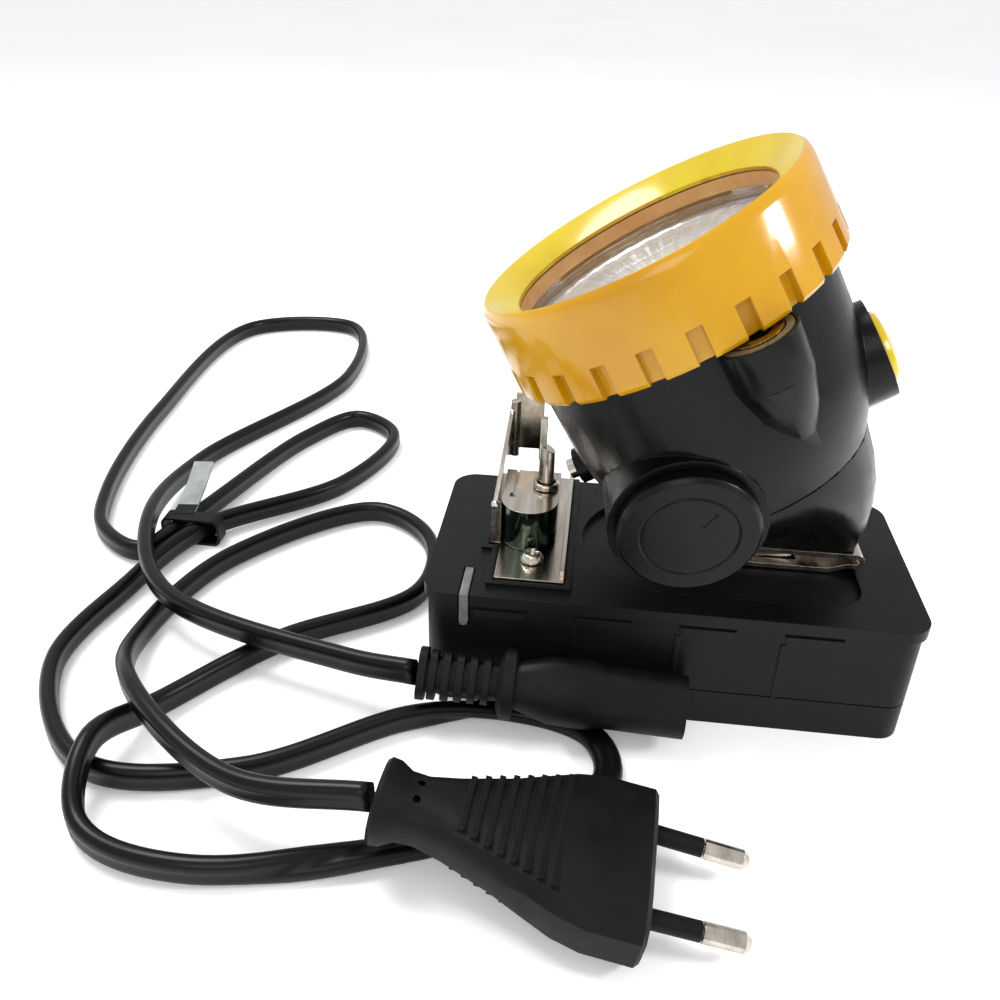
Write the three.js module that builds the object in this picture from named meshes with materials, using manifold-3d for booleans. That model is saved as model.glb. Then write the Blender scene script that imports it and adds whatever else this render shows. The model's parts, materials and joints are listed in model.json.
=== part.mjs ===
import * as THREE from 'three';
import { mergeVertices } from 'three/addons/utils/BufferGeometryUtils.js';
import Module from 'manifold-3d';

const wasm = await Module();
wasm.setup();

// A miner's cap lamp lying lens up on its desk charger, with the charger's loose mains lead.
// Millimetres, +Z up. The origin is the middle of the charger's underside, X runs along its
// long side and -Y is the side that a user faces.

const gap = 0.3; // the clearance between pieces that touch

const charger = {
  length: 112,
  depth: 56,
  height: 31,
  corner: 6,
  wall: 2,
  inset: 0.8, // how far the walls stand back from the lid's lip and the tabs
  lip: 3,
  split: 9.2, // the height of the parting line between base and lid
  screwX: 47,
  screwY: 19.5,
};
const roof = 2.5; // thickness of the lid's top
const recess = { left: -21, right: 43, halfWidth: 21.5, centreY: 1, corner: 8, deep: 1.5 };
const pipe = { x: -46.2, width: 2, backY: -17.3, lowZ: 22.7, proud: 0.25 };

const bracket = {
  left: -40.2,
  right: -24.4,
  front: -22.2,
  back: 26.6,
  thick: 1.2,
  wallX: -42.9,
  wallFront: -7.6,
  wallFrontTop: 43.4,
  wallBackTop: 53.2,
  wallThick: 1,
  lean: 0.05, // how far the side wall leans inwards for each unit of height
};
const plateTop = charger.height + gap + bracket.thick;
const block = { x: -33.9, y: -4.2, radius: 6.7, back: 10, top: 43, wall: 1.2 };
const key = { x: -30.6, y: 2.4, radius: 1.85, top: 54.3, barTop: 61.4 };
const bracketScrews = [[-32.2, -14.2], [-33.9, 19]];

const head = { x: -15.4, y: 1, z: 107.7, tilt: Math.PI / 6 }; // centre of the bezel's front rim
const bezel = { teeth: 24, toothGap: 3.2, rear: -20.5, notchTop: -13.5, phase: 0.131 };
const shell = { radius: 33.2, front: -11.8, rear: -60.2, rearRadius: 27.6, wall: 2.2 };
const socket = { x: 14, y: -31.3, z: -21.4, radius: 8 };
const button = { z: -47.5, boss: 11.5, bossEnd: 35, radius: 8, top: 37.5 };
const knob = { x: -13, y: -35, z: -54.2, tilt: Math.PI / 18, radius: 14.7, thick: 3.2, boss: 16.5 };
const footing = { left: -2, right: 43, front: -5.5, back: 7.5, z: 35.6, corner: 3 };
const clip = {
  left: 0, right: 45, front: -5, back: 7, top: 35.3, bottom: 29.9, thick: 1.2, bendRadius: 1.95,
};

// The flat cord stands on its edge, but lies on its side where the connector and plug rest on it.
const cord = { wide: 6.4, thick: 3.9, steps: 110, flatFrom: 0.66, flatTo: 0.715, twist: 0.02 };
const connector = {
  x: 4.6, y: -34.1, z: 9.9, yaw: 0.02, pitch: 0.066, lean: 0.94, wide: 14.2, high: 8.6,
};
const plug = {
  x: -3.9, y: -77.8, z: 7.4, yaw: -0.07, pitch: 0.152, roll: 0.04, wide: 34.8, thick: 13.2,
};
const pin = { apart: 18.6, tipsApart: 17.5, length: 19, sleeve: 10, radius: 2, sleeveRadius: 1.9 };

// The middle of the cord, from the connector's strain relief to the plug's flange.
const cordRoute = [
  [-56, -35.2, 13.6], [-73.6, -30.8, 11.8], [-125, -11, 10.6], [-145, 23, 10.3],
  [-149, 72, 4], [-119, 148, 3.6], [-132, 206, 3.5], [-174, 198, 3.5], [-179, 106, 3.5],
  [-170, 46, 3.5], [-161, 26, 3.5], [-146, 17.5, 3.5], [-138.8, 31, 4.4], [-120, 94, 3.5],
  [-106, 113, 3.5], [-90, 101, 3.5], [-99, 64, 3.5], [-132.8, 29, 4.4], [-142, 0, 3.5],
  [-145, -33, 3.5], [-122, -63, 3.5], [-88.4, -59.5, 3.5], [-56.3, -38.9, 3.5],
  [-33, -31.9, 2.1], [-15, -38, 2], [-12, -51, 2], [-32, -65.5, 2.1], [-91, -85.5, 3.8],
  [-115, -79, 4.6], [-120, -62.5, 10.2], [-114, -43, 4.1], [-94, -17, 3.9], [-64, 8, 3.5],
  [-66, 36, 3.5], [-85, 49, 3.5], [-120, 17, 3.6], [-129, -20, 4.2], [-117, -48, 13.4],
  [-86, -71.5, 13.2], [-56.8, -74.1, 15.6],
];
const tie = { x: -135.3, y: 30, inside: 15.8, height: 6.9, thick: 0.8, width: 5 };

// ---------------------------------------------------------------- solids

function toSolid(geometry) {
  const bare = geometry.clone();
  bare.deleteAttribute('normal');
  bare.deleteAttribute('uv');
  const merged = mergeVertices(bare, 1e-4);
  return new wasm.Manifold(new wasm.Mesh({
    numProp: 3,
    vertProperties: new Float32Array(merged.attributes.position.array),
    triVerts: new Uint32Array(merged.index.array),
  }));
}

function toGeometry(solid) {
  const mesh = solid.getMesh();
  const geometry = new THREE.BufferGeometry();
  geometry.setAttribute('position', new THREE.BufferAttribute(mesh.vertProperties, 3));
  geometry.setIndex(new THREE.BufferAttribute(mesh.triVerts, 1));
  geometry.computeVertexNormals();
  return geometry;
}

function join(...geometries) {
  return toGeometry(geometries.map(toSolid).reduce((a, b) => a.add(b)));
}

function cut(geometry, ...tools) {
  return toGeometry(tools.map(toSolid).reduce((a, b) => a.subtract(b), toSolid(geometry)));
}

function moved(geometry, x, y, z) {
  geometry.translate(x, y, z);
  return geometry;
}

// A box between two corners.
function box(x0, x1, y0, y1, z0, z1) {
  return moved(
    new THREE.BoxGeometry(x1 - x0, y1 - y0, z1 - z0), (x0 + x1) / 2, (y0 + y1) / 2, (z0 + z1) / 2);
}

// An upright cylinder from z0 to z1; a second radius makes it a cone.
function rod(radius, z0, z1, x = 0, y = 0, sides = 24, topRadius = radius) {
  const geometry = new THREE.CylinderGeometry(topRadius, radius, z1 - z0, sides);
  geometry.rotateX(Math.PI / 2);
  return moved(geometry, x, y, (z0 + z1) / 2);
}

// A closed profile of [radius, z] points turned about Z.
function turned(profile, sides = 48) {
  const points = profile.map(([r, z]) => new THREE.Vector2(r, z));
  const geometry = new THREE.LatheGeometry(points, sides);
  geometry.rotateX(Math.PI / 2);
  return facingOut(geometry);
}

// Flips a closed geometry whose faces point inwards.
function facingOut(geometry) {
  const bare = geometry.clone();
  bare.deleteAttribute('normal');
  bare.deleteAttribute('uv');
  const merged = mergeVertices(bare, 1e-4);
  const p = merged.attributes.position;
  const index = merged.index.array;
  const [a, b, c] = [new THREE.Vector3(), new THREE.Vector3(), new THREE.Vector3()];
  let volume = 0;
  const kept = [];
  for (let i = 0; i < index.length; i += 3) {
    a.fromBufferAttribute(p, index[i]);
    b.fromBufferAttribute(p, index[i + 1]);
    c.fromBufferAttribute(p, index[i + 2]);
    if (index[i] === index[i + 1] || index[i + 1] === index[i + 2] || index[i] === index[i + 2]) {
      continue;
    }
    volume += a.dot(b.cross(c));
    kept.push(index[i], index[i + 1], index[i + 2]);
  }
  if (volume < 0) {
    for (let i = 0; i < kept.length; i += 3) {
      [kept[i + 1], kept[i + 2]] = [kept[i + 2], kept[i + 1]];
    }
  }
  merged.setIndex(kept);
  merged.computeVertexNormals();
  return merged;
}

function roundedRect(x0, x1, y0, y1, r) {
  const shape = new THREE.Shape();
  shape.moveTo(x0 + r, y0);
  shape.lineTo(x1 - r, y0);
  shape.absarc(x1 - r, y0 + r, r, -Math.PI / 2, 0);
  shape.lineTo(x1, y1 - r);
  shape.absarc(x1 - r, y1 - r, r, 0, Math.PI / 2);
  shape.lineTo(x0 + r, y1);
  shape.absarc(x0 + r, y1 - r, r, Math.PI / 2, Math.PI);
  shape.lineTo(x0, y0 + r);
  shape.absarc(x0 + r, y0 + r, r, Math.PI, Math.PI * 1.5);
  return shape;
}

// A shape in XY raised from z0 to z1.
function raised(shape, z0, z1, curveSegments = 6) {
  const geometry = new THREE.ExtrudeGeometry(
    shape, { depth: z1 - z0, bevelEnabled: false, curveSegments });
  return moved(geometry, 0, 0, z0);
}

// A shape whose own x and y are world Y and Z, extruded along +X from x0 to x1.
function alongX(shape, x0, x1, curveSegments = 6) {
  const geometry = raised(shape, x0, x1, curveSegments);
  geometry.applyMatrix4(new THREE.Matrix4().makeBasis(
    new THREE.Vector3(0, 1, 0), new THREE.Vector3(0, 0, 1), new THREE.Vector3(1, 0, 0)));
  return geometry;
}

// A shape whose own x and y are world X and Z, extruded along +Y from y0 to y1.
function alongY(shape, y0, y1, curveSegments = 6) {
  const geometry = raised(shape, -y1, -y0, curveSegments);
  geometry.rotateX(Math.PI / 2);
  return geometry;
}

function polygon(points) {
  return new THREE.Shape(points.map(([x, y]) => new THREE.Vector2(x, y)));
}

// A closed skin over rings of points; each ring has the same number of points.
function lofted(rings) {
  const around = rings[0].length;
  const points = rings.flat();
  const index = [];
  for (let i = 0; i + 1 < rings.length; i += 1) {
    for (let k = 0; k < around; k += 1) {
      const a = i * around + k;
      const b = i * around + (k + 1) % around;
      index.push(a, b, b + around, a, b + around, a + around);
    }
  }
  for (const [ring, start] of [[rings[0], 0], [rings.at(-1), (rings.length - 1) * around]]) {
    const middle = ring.reduce((sum, p) => sum.add(p), new THREE.Vector3())
      .divideScalar(around);
    points.push(middle);
    for (let k = 0; k < around; k += 1) {
      const next = start + (k + 1) % around;
      if (start === 0) {
        index.push(next, start + k, points.length - 1);
      } else {
        index.push(start + k, next, points.length - 1);
      }
    }
  }
  const geometry = new THREE.BufferGeometry().setFromPoints(points);
  geometry.setIndex(index);
  return facingOut(geometry);
}

// A ring of points shaped like a rectangle with rounded corners, in the plane x = at.
function softRing(at, halfWide, halfHigh, roundness, sides = 20) {
  return Array.from({ length: sides }, (_, k) => {
    const angle = (2 * Math.PI * (k + 0.5)) / sides;
    const c = Math.cos(angle);
    const s = Math.sin(angle);
    const size = (Math.abs(c) ** roundness + Math.abs(s) ** roundness) ** (-1 / roundness);
    return new THREE.Vector3(at, halfWide * c * size, halfHigh * s * size);
  });
}

// ---------------------------------------------------------------- materials

const finishes = {
  blackCase: [0x1b1c1d, 0.55, 0],
  blackShell: [0x17191a, 0.38, 0],
  yellowPlastic: [0xf0b41a, 0.22, 0],
  clearLens: [0xe9eef0, 0.05, 0],
  tanGasket: [0xc9a877, 0.6, 0],
  mirror: [0xd9dcde, 0.08, 1],
  nickel: [0xb8b2aa, 0.22, 1],
  darkSteel: [0x6d6663, 0.35, 1],
  brass: [0xb8913f, 0.3, 1],
  greyPlastic: [0x8a8480, 0.5, 0],
  palePipe: [0xc9cccb, 0.35, 0],
  rubber: [0x121313, 0.8, 0],
  cordSheath: [0x141516, 0.5, 0],
  board: [0x1f5a3a, 0.5, 0],
  cellWrap: [0x2f6fa8, 0.4, 0],
  phosphor: [0xe8d452, 0.5, 0],
};

function mesh(name, geometry, finish) {
  const [color, roughness, metalness] = finishes[finish];
  const material = new THREE.MeshStandardMaterial({ color, roughness, metalness });
  material.name = finish;
  const part = new THREE.Mesh(geometry, material);
  part.name = name;
  return part;
}

// A pan head screw with a cross recess, its head's underside at z and its tip at tip.
function screw(x, y, z, tip, headRadius, shankRadius, down = 1) {
  const rise = 1.9;
  const solid = turned([
    [0, 0], [headRadius, 0], [headRadius, 0.7], [headRadius * 0.72, rise], [0, rise],
  ], 16);
  const shank = rod(shankRadius, -Math.abs(z - tip), 0.2, 0, 0, 8);
  const reach = headRadius * 0.55;
  const slot = 0.45;
  const cross = [
    box(-reach, reach, -slot, slot, rise - 0.9, rise + 1),
    box(-slot, slot, -reach, reach, rise - 0.9, rise + 1),
  ];
  const geometry = cut(join(solid, shank), ...cross);
  if (down < 0) {
    geometry.rotateX(Math.PI);
  }
  return moved(geometry, x, y, z);
}

// ---------------------------------------------------------------- charger

function chargerOutline(inset) {
  const x = charger.length / 2 - inset;
  const y = charger.depth / 2 - inset;
  return roundedRect(-x, x, -y, y, charger.corner - inset);
}

function recessOutline(grow) {
  const r = recess.halfWidth + grow;
  const c = recess.corner + grow;
  const shape = new THREE.Shape();
  const middle = recess.left + recess.halfWidth;
  shape.moveTo(middle, recess.centreY - r);
  shape.lineTo(recess.right + grow - c, recess.centreY - r);
  shape.absarc(recess.right + grow - c, recess.centreY - r + c, c, -Math.PI / 2, 0);
  shape.lineTo(recess.right + grow, recess.centreY + r - c);
  shape.absarc(recess.right + grow - c, recess.centreY + r - c, c, 0, Math.PI / 2);
  shape.lineTo(middle, recess.centreY + r);
  shape.absarc(middle, recess.centreY, r, Math.PI / 2, Math.PI * 1.5);
  return shape;
}

// The plate's outline, grown by the given width; it is wider beside the side wall.
function plateOutline(grow) {
  return polygon([
    [bracket.left - grow, bracket.front - grow],
    [bracket.right + grow, bracket.front - grow],
    [bracket.right + grow, bracket.back + Math.min(grow, 0.9)],
    [bracket.wallX - grow, bracket.back + Math.min(grow, 0.9)],
    [bracket.wallX - grow, bracket.wallFront - grow],
    [bracket.left - grow, bracket.wallFront - grow],
  ]);
}

const screwPlaces = [-1, 1].flatMap((i) => [-1, 1].map((j) => [
  i * charger.screwX, j * charger.screwY]));
const inlet = { x: 22, z: 18.6, wide: 14.6, high: 8.9, deep: 11 };
const contactPitch = 8.6;

function figureEight(x, z, wide, high) {
  const r = high / 2;
  const half = wide / 2 - r;
  const shape = new THREE.Shape();
  shape.moveTo(x - half, z - r);
  shape.lineTo(x + half, z - r);
  shape.absarc(x + half, z, r, -Math.PI / 2, Math.PI / 2);
  shape.lineTo(x - half, z + r);
  shape.absarc(x - half, z, r, Math.PI / 2, Math.PI * 1.5);
  return shape;
}

function frontTabs() {
  const wide = 12.7;
  const pitch = 23.1;
  const first = -44.5;
  const top = charger.height - charger.lip - 0.9;
  const bottom = top - 2.2;
  const wallY = -charger.depth / 2 + charger.inset;
  return [0, 1, 2, 3].map((i) => {
    const x = first + i * pitch;
    return alongY(polygon([
      [x, top], [x + 1, bottom], [x + wide - 1, bottom], [x + wide, top],
    ]), wallY - charger.inset + 0.1, wallY + 0.5);
  });
}

function chargerLid() {
  const top = charger.height;
  const bottom = charger.split + gap;
  const wallY = -charger.depth / 2 + charger.inset;
  const ribs = [-21.4, 1.7, 24.8].map((x) => box(
    x - 0.5, x + 0.5, wallY - 0.35, wallY + 0.5, bottom, top - charger.lip - 3.5));
  const outer = join(
    raised(chargerOutline(charger.inset), bottom, top - charger.lip + 0.2),
    raised(chargerOutline(0), top - charger.lip, top),
    raised(plateOutline(gap + 1.4), top - 0.2, top + 1),
    ...frontTabs(),
    ...ribs,
  );
  const cavity = raised(chargerOutline(charger.inset + charger.wall), bottom - 1, top - roof);
  const bosses = screwPlaces.map(([x, y]) => rod(3.4, bottom, top - roof + 0.2, x, y, 12));
  const slot = pipe.width / 2 + gap;
  const front = -charger.depth / 2;
  return cut(
    join(cut(outer, cavity), ...bosses),
    raised(recessOutline(0), top - recess.deep, top + 2, 8),
    raised(plateOutline(gap), top, top + 3),
    box(pipe.x - slot, pipe.x + slot, front - 1, pipe.backY + gap, top - 1.5, top + 2),
    box(pipe.x - slot, pipe.x + slot, front - 1, front + 1.7, pipe.lowZ - gap, top),
    alongY(figureEight(inlet.x, inlet.z, inlet.wide + 3.4, inlet.high + 3.4), 20, 30),
    ...screwPlaces.map(([x, y]) => rod(1.7, bottom - 1, bottom + 8, x, y, 8)),
    ...bracketScrews.map(([x, y]) => rod(1.7, top - roof - 1, top + 2, x, y, 12)),
  );
}

function chargerBase() {
    const tray = cut(
    raised(chargerOutline(charger.inset), 0, charger.split),
    raised(chargerOutline(charger.inset + charger.wall), charger.wall, charger.split + 1),
  );
  const seats = screwPlaces.map(([x, y]) => rod(4.6, 1, 5.2, x, y, 14));
  const posts = [-1, 1].flatMap((i) => [-1, 1].map((j) => rod(
    2.4, 1, 11.6, i * 34, j * 12, 10)));
  return cut(
    join(tray, ...seats, ...posts),
    ...screwPlaces.map(([x, y]) => rod(3.2, -1, 3.3, x, y, 16)),
    ...screwPlaces.map(([x, y]) => rod(1.7, 0, 7, x, y, 8)),
  );
}

function lightPipe() {
  const x0 = pipe.x - pipe.width / 2;
  const x1 = pipe.x + pipe.width / 2;
  const front = -charger.depth / 2 - pipe.proud;
  const top = charger.height + pipe.proud;
  const round = pipe.width / 2;
  const foot = new THREE.Shape();
  foot.moveTo(x1, pipe.lowZ + round);
  foot.lineTo(x1, top);
  foot.lineTo(x0, top);
  foot.lineTo(x0, pipe.lowZ + round);
  foot.absarc(pipe.x, pipe.lowZ + round, round, Math.PI, Math.PI * 2);
  return join(
    box(x0, x1, front, pipe.backY, top - 1.4, top),
    alongY(foot, front, front + 1.6, 8),
  );
}

function inletHousing() {
  const back = charger.depth / 2 - charger.inset + 0.3;
  return cut(
    alongY(figureEight(inlet.x, inlet.z, inlet.wide + 2.8, inlet.high + 2.8),
      back - inlet.deep - 2.5, back, 8),
    alongY(figureEight(inlet.x, inlet.z, inlet.wide, inlet.high), back - inlet.deep, back + 1, 8),
    ...[-1, 1].map((i) => moved(
      new THREE.CylinderGeometry(1.5, 1.5, 40, 16), inlet.x + (i * contactPitch) / 2, back - 20, inlet.z)),
  );
}

function inletPin(side) {
  const back = charger.depth / 2 - charger.inset - 2;
  return moved(
    new THREE.CylinderGeometry(1.2, 1.2, 13.5, 16),
    inlet.x + (side * contactPitch) / 2, back - 13.5 / 2, inlet.z);
}

// The pressed bracket: plate, right flange, side wall and the leaf across its rear end.
function bracketPressing() {
  const low = charger.height + gap;
  const high = plateTop;
  const wall = alongX(polygon([
    [bracket.wallFront, low], [bracket.back, low],
    [bracket.back, bracket.wallBackTop], [bracket.wallFront, bracket.wallFrontTop],
  ]), bracket.wallX, bracket.wallX + bracket.wallThick);
  const bead = new THREE.SphereGeometry(1.1, 12, 8);
  bead.translate(bracket.wallX + 0.6, bracket.wallFront + 0.3, bracket.wallFrontTop - 0.7);
  const leanIn = new THREE.Matrix4().set(
    1, 0, bracket.lean, -bracket.lean * low,
    0, 1, 0, 0,
    0, 0, 1, 0,
    0, 0, 0, 1,
  );
  wall.applyMatrix4(leanIn);
  bead.applyMatrix4(leanIn);
  const rollX = -40.4;
  const leafY = 25.3;
  const leaf = [
    rod(1.3, 39.4, 54.8, rollX, leafY, 16),
    box(rollX, -33.6, leafY - 0.4, leafY + 0.4, 41.6, 57),
    box(-34, -33.1, leafY - 0.4, 27.6, 38.5, 57),
  ];
  return cut(
    join(
      raised(plateOutline(0), low, high),
      box(bracket.right - 1, bracket.right, bracket.front + 2.5, bracket.back, high - 0.2, high + 1.3),
      wall,
      bead,
      ...leaf,
    ),
    ...bracketScrews.map(([x, y]) => rod(1.8, low - 1, high + 1, x, y, 16)),
  );
}

function blockOutline(inset, back) {
  const r = block.radius - inset;
  const shape = new THREE.Shape();
  shape.moveTo(block.x + r, back);
  shape.lineTo(block.x - r, back);
  shape.lineTo(block.x - r, block.y);
  shape.absarc(block.x, block.y, r, Math.PI, Math.PI * 2);
  return shape;
}

function contactBlock() {
  const low = plateTop + gap;
  const seamX = block.x - 4;
  return cut(
    raised(blockOutline(0, block.back), low, block.top, 12),
    raised(blockOutline(block.wall, block.back + 1), low - 1, block.top - block.wall, 10),
    box(seamX - 0.25, seamX + 0.25, block.y + 1.4, block.back + 1, block.top - 0.5, block.top + 1),
    box(seamX - 0.9, seamX + 0.3, block.y + 0.6, block.y + 2.4, block.top - 0.8, block.top + 1),
    rod(2.5, block.top - 2, block.top + 1, key.x, key.y, 20),
  );
}

function keyRing() {
  const low = block.top + gap;
  return moved(turned([
    [2.35, 0], [3.1, 0], [3.1, 0.9], [2.8, 1.3], [2.35, 1.3], [2.35, 0],
  ], 24), key.x, key.y, low);
}

function chargingKey() {
  const low = plateTop + gap;
  const post = cut(
    rod(key.radius, low, key.top, key.x, key.y, 20),
    alongY(polygon([
      [key.x - 3, key.top + 1], [key.x + 3, key.top + 1], [key.x + 3, key.top - 2.4],
    ]), key.y - 4, key.y + 4),
  );
  return join(post, box(key.x - 1.9, key.x - 0.3, key.y - 0.7, key.y + 0.7, low, key.barTop));
}

// ---------------------------------------------------------------- lamp head, lens along +Z

function bezelRing() {
  const ring = turned([
    [29, -4], [34.4, -0.2], [35.2, 0], [36, -0.8], [36.5, -2.6],
    [37.3, -19.6], [36.7, bezel.rear], [33.6, bezel.rear], [33.6, -4.8], [29, -4.8],
    [29, -4],
  ], 72);
  const notches = Array.from({ length: bezel.teeth }, (_, i) => {
    const notch = box(
      35.2, 40, -bezel.toothGap / 2, bezel.toothGap / 2, bezel.rear - 1, bezel.notchTop);
    notch.rotateZ((2 * Math.PI * i) / bezel.teeth + bezel.phase);
    return notch;
  });
  return cut(ring, ...notches);
}

function reflector() {
  const inner = Array.from({ length: 7 }, (_, i) => {
    const r = 5.2 + ((28.4 - 5.2) * i) / 6;
    return [r, -34.4 + 23.4 * ((r * r - 5.2 ** 2) / (28.4 ** 2 - 5.2 ** 2))];
  });
  const outer = inner.map(([r, z]) => [r + 1.1, z - 0.9]).reverse();
  const rim = [[30.6, -10.9], [30.6, -11.9]];
  return turned([...inner, ...rim, ...outer, inner[0]], 30);
}

// The solid of revolution that the shell's outside or inside fills.
function bowlFill(inset, front, rear) {
  const bowl = [
    [33.2, -40], [32.7, -45.5], [31.4, -51], [29.4, -56], [shell.rearRadius, shell.rear],
  ].map(([r, z]) => [r - inset, z]);
  return turned([
    [0, front], [shell.radius - inset, front], ...bowl.slice(0, -1),
    [shell.rearRadius - inset, rear], [0, rear],
  ], 44);
}

// Places a geometry that was built about its own Z on the knob's axis; z is the depth behind
// the knob's face, so it is negative towards the shell.
function onKnobAxis(geometry) {
  geometry.rotateX(Math.PI / 2 + knob.tilt);
  return moved(geometry, knob.x, knob.y, knob.z);
}

function knobBoss(grow) {
  const shape = grow > 0 ? 18 : 16;
  return onKnobAxis(rod(knob.boss + grow, -knob.thick - gap - shape, -knob.thick - gap + grow, 0, 0, 28));
}

// Turns a geometry's Z onto the lamp's +X.
function sideways(geometry, z) {
  geometry.rotateY(Math.PI / 2);
  return moved(geometry, 0, 0, z);
}

function socketBoss() {
  const rings = [
    [socket.z, socket.y, socket.radius], [-30, socket.y + 0.2, socket.radius - 0.2],
    [-39, socket.y + 3, socket.radius - 2], [-46, socket.y + 5.6, socket.radius - 4.5],
  ];
  return lofted(rings.map(([z, y, r]) => Array.from({ length: 20 }, (_, k) => {
    const angle = (2 * Math.PI * k) / 20;
    return new THREE.Vector3(socket.x + r * Math.cos(angle), y + r * Math.sin(angle), z);
  })));
}

function lampShell() {
  const outside = join(
    bowlFill(0, shell.front, shell.rear),
    knobBoss(0),
    socketBoss(),
    sideways(rod(button.boss, 24, button.bossEnd, 0, 0, 24, button.boss - 0.6), button.z),
    sideways(rod(4.4, -35.4, -24, 0, 0, 14), -46),
  );
  return cut(
    outside,
    bowlFill(shell.wall, shell.front + 1, shell.rear - 20),
    rod(7.4, socket.z - 9, socket.z + 1, socket.x, socket.y, 20),
    onKnobAxis(rod(3.3, -10, 0, 0, 0, 20)),
    sideways(rod(button.radius + gap, 30.2, 40, 0, 0, 24), button.z),
    sideways(rod(2.4, 20, 32, 0, 0, 12), button.z),
    sideways(rod(2.7, -40, -24, 0, 0, 12), -46),
  );
}

function powerButton() {
  const dome = turned([
    [0, 27.6], [2, 27.6], [2, 31.8], [button.radius, 31.8], [button.radius, 35.4],
    [7.2, 36.5], [4.4, 37.3], [0, button.top],
  ], 24);
  return sideways(dome, button.z);
}

function sideKnob() {
  const cap = turned([
    [0, -9.2], [3, -9.2], [3, -knob.thick], [knob.radius, -knob.thick], [knob.radius, -0.9],
    [knob.radius - 0.9, 0], [10.2, 0], [9.9, -0.4], [9.6, 0], [0, 0],
  ], 30);
  const mark = box(-0.7, 0.7, 3.4, 7.6, -0.3, 1);
  mark.rotateZ(-1.1);
  return onKnobAxis(cut(cap, mark));
}

// The wedge-shaped rear cover, from the shell's round rim to the flat footing under it.
function coverFill(inset, front) {
  const toWorld = new THREE.Matrix4()
    .makeTranslation(head.x, head.y, head.z)
    .multiply(new THREE.Matrix4().makeRotationY(-head.tilt));
  const toHead = toWorld.clone().invert();
  const sides = 28;
  const across = (footing.right - footing.left) / 2 - inset;
  const middle = new THREE.Vector3((footing.right + footing.left) / 2, 1, footing.z + inset);
  const halfDeep = (footing.back - footing.front) / 2 - Math.min(inset, 1.2);
  const pairs = Array.from({ length: sides }, (_, k) => {
    const angle = (2 * Math.PI * k) / sides;
    const c = Math.cos(angle);
    const s = Math.sin(angle);
    const r = shell.rearRadius - inset;
    const start = new THREE.Vector3(r * c, r * s, front);
    const square = (Math.abs(c) ** 6 + Math.abs(s) ** 6) ** (-1 / 6);
    const end = new THREE.Vector3(
      middle.x + across * c * square, middle.y + halfDeep * s * square, middle.z,
    ).applyMatrix4(toHead);
    const push = 5 + 15 * Math.max(0, c) ** 2;
    const bend = start.clone().add(new THREE.Vector3(-0.06 * push * c, -0.06 * push * s, -push));
    return new THREE.QuadraticBezierCurve3(start, bend, end);
  });
  const levels = 5;
  return lofted(Array.from({ length: levels + 1 }, (_, i) => pairs.map(
    (curve) => curve.getPoint(i / levels))));
}

function rearCover() {
  const rim = shell.rear - gap;
  const toHead = new THREE.Matrix4().makeRotationY(head.tilt);
  const holes = rivetPlaces.map((x) => {
    const hole = rod(1.8, footing.z - 3, footing.z + 6, x, head.y, 14);
    hole.translate(-head.x, -head.y, -head.z);
    hole.applyMatrix4(toHead);
    return hole;
  });
  return cut(
    coverFill(0, rim),
    coverFill(shell.wall, rim + 0.5),
    knobBoss(gap),
    ...holes,
  );
}

const rivetPlaces = [12, 33];

// ---------------------------------------------------------------- clip under the lamp

function helmetClip() {
  const outer = clip.bendRadius;
  const inner = outer - clip.thick;
  const bendX = clip.right - outer;
  const middle = clip.top - outer;
  const shape = new THREE.Shape();
  shape.moveTo(clip.left, clip.top);
  shape.lineTo(clip.left, clip.top - clip.thick);
  shape.lineTo(bendX, middle + inner);
  shape.absarc(bendX, middle, inner, Math.PI / 2, -Math.PI / 2, true);
  shape.lineTo(bendX - 1.8, middle - inner);
  shape.lineTo(bendX - 6.2, clip.bottom + clip.thick);
  shape.lineTo(clip.left + 4, clip.bottom + clip.thick);
  shape.lineTo(clip.left + 4, clip.bottom);
  shape.lineTo(bendX - 6, clip.bottom);
  shape.lineTo(bendX - 1.6, middle - outer);
  shape.lineTo(bendX, middle - outer);
  shape.absarc(bendX, middle, outer, -Math.PI / 2, Math.PI / 2, false);
  const strip = alongY(shape, clip.front, clip.back, 8);
  const window = { left: 20, right: 30, front: -2.5, back: 2.5 };
  const leafTop = clip.bottom + clip.thick;
  const tongue = alongY(polygon([
    [window.left - 1, clip.bottom + 0.3], [window.left + 0.5, clip.bottom + 0.3],
    [window.right - 1.2, leafTop + 0.7], [window.right - 1.2, leafTop + 1.4],
    [window.left - 1, leafTop - 0.1],
  ]), window.front + 0.5, window.back - 0.5);
  return join(
    cut(
      strip,
      box(window.left, window.right, window.front, window.back, clip.bottom - 1, leafTop + 0.4),
      ...rivetPlaces.map((x) => rod(1.8, clip.top - 2, clip.top + 1, x, head.y, 16)),
    ),
    tongue,
  );
}

function clipRivet(x) {
  const under = clip.top - clip.thick - gap;
  return moved(turned([
    [0, -0.9], [1.6, -0.9], [2.7, 0], [1.5, 0], [1.5, 4.6], [0, 4.6],
  ], 20), x, head.y, under);
}

// ---------------------------------------------------------------- mains lead

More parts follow.
